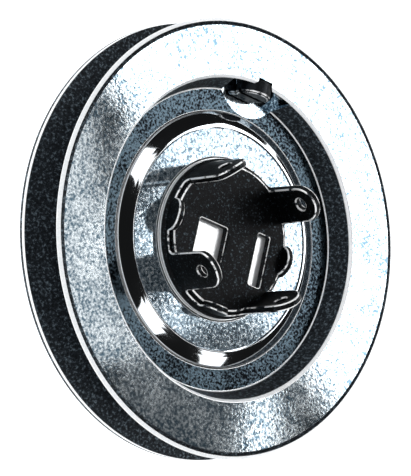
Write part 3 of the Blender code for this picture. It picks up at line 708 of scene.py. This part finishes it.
# Matt white paper, lit so evenly that it shows no shade of its own.
paper, paperTree, paperShader, paperPlace = startMaterial("paperMattWhite", studio["floor"], 0.0, 0.9)
paperShader.inputs["Emission Color"].default_value = (1.0, 1.0, 1.0, 1.0)
paperShader.inputs["Emission Strength"].default_value = studio["floorGlow"]
fibre = addNode(paperTree, "TexNoise", {"Scale": grain(studio["fibre"]), "Detail": 2.0}, {"Vector": paperPlace})
paperRelief = addNode(paperTree, "Bump", {"Strength": 0.1, "Distance": 0.05 * mm}, {"Height": fibre.outputs["Fac"]})
paperTree.links.new(paperRelief.outputs["Normal"], paperShader.inputs["Normal"])
floor = addPiece("paperFloor", floorMesh, [paper], None)

tilt, roll = math.radians(studio["tilt"]), math.radians(studio["roll"])
spin = Matrix.Rotation(math.radians(studio["turned"]), 3, "Z")
back = spin @ Vector((-math.sin(tilt), 0, math.cos(tilt)))
side = spin @ Vector((math.cos(tilt), 0, math.sin(tilt)))
rise = spin @ Vector((0, 1, 0))
right = math.cos(roll) * side - math.sin(roll) * rise
up = math.sin(roll) * side + math.cos(roll) * rise
target = Vector((0, 0, face))
camera = bpy.data.objects.new("camera", bpy.data.cameras.new("camera"))
bpy.context.scene.collection.objects.link(camera)
pose = Matrix((right, up, back)).transposed().to_4x4()
pose.translation = target + back * studio["distance"]
camera.matrix_world = pose @ Matrix.Rotation(math.atan(studio["aimShift"] / studio["focal"]), 4, "Y")
camera.data.lens = studio["focal"] * studio["sensor"] / studio["imageHeight"]
camera.data.clip_start = 0.05
bpy.context.scene.camera = camera

mirror = Vector((-back.x, -back.y, back.z))      # the way a level face throws the camera's line of sight
across = up.cross(mirror).normalized()
above = mirror.cross(across).normalized()


def addLamp(name, direction, distance, size, radiance, aim, along):
    lamp = bpy.data.lights.new(name, "AREA")
    lamp.shape = "RECTANGLE"
    lamp.size, lamp.size_y = size
    lamp.energy = radiance * math.pi * size[0] * size[1]
    holder = bpy.data.objects.new(name, lamp)
    bpy.context.scene.collection.objects.link(holder)
    place = aim + direction.normalized() * distance
    zAxis = (place - aim).normalized()
    yAxis = (along - zAxis * along.dot(zAxis)).normalized()
    xAxis = yAxis.cross(zAxis)
    pose = Matrix((xAxis, yAxis, zAxis)).transposed().to_4x4()
    pose.translation = place
    holder.matrix_world = pose


# Panels of light where the level faces mirror the camera. Each has its place and size on a plane square to that line,
# in metres, then its lean in degrees and its radiance.
panels = {"distance": 0.9, "places": (
    ("softbox", (0.113, 0.093), (0.30, 0.46), 29.7, 4.2),
    ("sidePanel", (-0.108, 0.012), (0.085, 0.16), 8.0, 1.0),
    ("centreCard", (0.002, -0.004), (0.056, 0.052), 20.0, 10.0),
    ("bottomStrip", (0.008, -0.104), (0.009, 0.042), -8.0, 4.0),
    ("lowCard", (-0.028, -0.105), (0.10, 0.09), -20.0, 0.2),
    ("leftSpot", (-0.048, 0.003), (0.010, 0.016), 0.0, 4.5),
    ("lowSpot", (-0.030, -0.046), (0.014, 0.016), 0.0, 4.5))}
for name, (sideways, upward), size, lean, radiance in panels["places"]:
    place = mirror * panels["distance"] + across * sideways + above * upward
    leaning = math.cos(math.radians(lean)) * above - math.sin(math.radians(lean)) * across
    addLamp(name, place, place.length, size, radiance, target, leaning)


def glance(angle, slope):                        # where the camera's line of sight goes off a brow that slopes so
    radial = Vector((math.cos(math.radians(angle)), math.sin(math.radians(angle)), 0))
    normal = radial * math.sin(math.radians(slope)) + Vector((0, 0, math.cos(math.radians(slope))))
    return radial, (2 * normal.dot(back) * normal - back).normalized()


# Strips of light that the bearing ring's sloping brow mirrors as white blocks across it. Each place is an azimuth and
# half a width, in degrees; the slopes are those of the brow, in degrees, and one lamp serves each stretch of them.
strips = {"distance": 0.7, "radiance": 1.9, "slopes": (7.5, 12.0, 18.0, 30.0), "ringRadius": 37.5,
          "places": ((160.5, 9.5), (-121.0, 9.5), (-79.0, 7.7), (71.0, 4.0))}
for number, (angle, half) in enumerate(strips["places"]):
    for spot, (flat, steep) in enumerate(zip(strips["slopes"], strips["slopes"][1:])):
        radial, flatEnd = glance(angle, flat)
        steepEnd = glance(angle, steep)[1]
        reach = 2 * math.tan(flatEnd.angle(steepEnd) / 2)
        spread = (glance(angle + half, (flat + steep) / 2)[1] - glance(angle - half, (flat + steep) / 2)[1]).length
        addLamp(f"strip{number + 1}{spot + 1}", flatEnd + steepEnd, strips["distance"],
                (spread * strips["distance"], reach * strips["distance"]), strips["radiance"],
                target + radial * strips["ringRadius"] * mm, steepEnd - flatEnd)

# The room: white cloth round the horizon, higher on the camera's side, and black overhead.
room = {"colour": "#F4F6F8", "cloth": 1.15, "ceiling": 0.01, "lean": 0.5, "edge": 0.68, "soft": 0.06}
world = bpy.data.worlds.new("studio")
bpy.context.scene.world = world
world.use_nodes = True
worldTree = world.node_tree
backdrop = worldTree.nodes["Background"]
backdrop.inputs["Color"].default_value = linear(room["colour"])
cameraSide = Vector((back.x, back.y, 0)).normalized()
sky = addNode(worldTree, "TexCoord").outputs["Generated"]
overhead = Vector((0, 0, 1)) - room["lean"] * cameraSide
height = addNode(worldTree, "VectorMath", {"operation": "DOT_PRODUCT", 1: overhead}, {0: sky})
clothEnd, ceilingStart = room["edge"] - room["soft"], room["edge"] + room["soft"]
cloth = addNode(worldTree, "MapRange", {"From Min": clothEnd, "From Max": ceilingStart, "To Min": room["cloth"],
                                        "To Max": room["ceiling"]}, {"Value": height.outputs["Value"]})
worldTree.links.new(cloth.outputs["Result"], backdrop.inputs["Strength"])
bpy.context.scene.view_settings.view_transform = "Standard"
print("studio made")
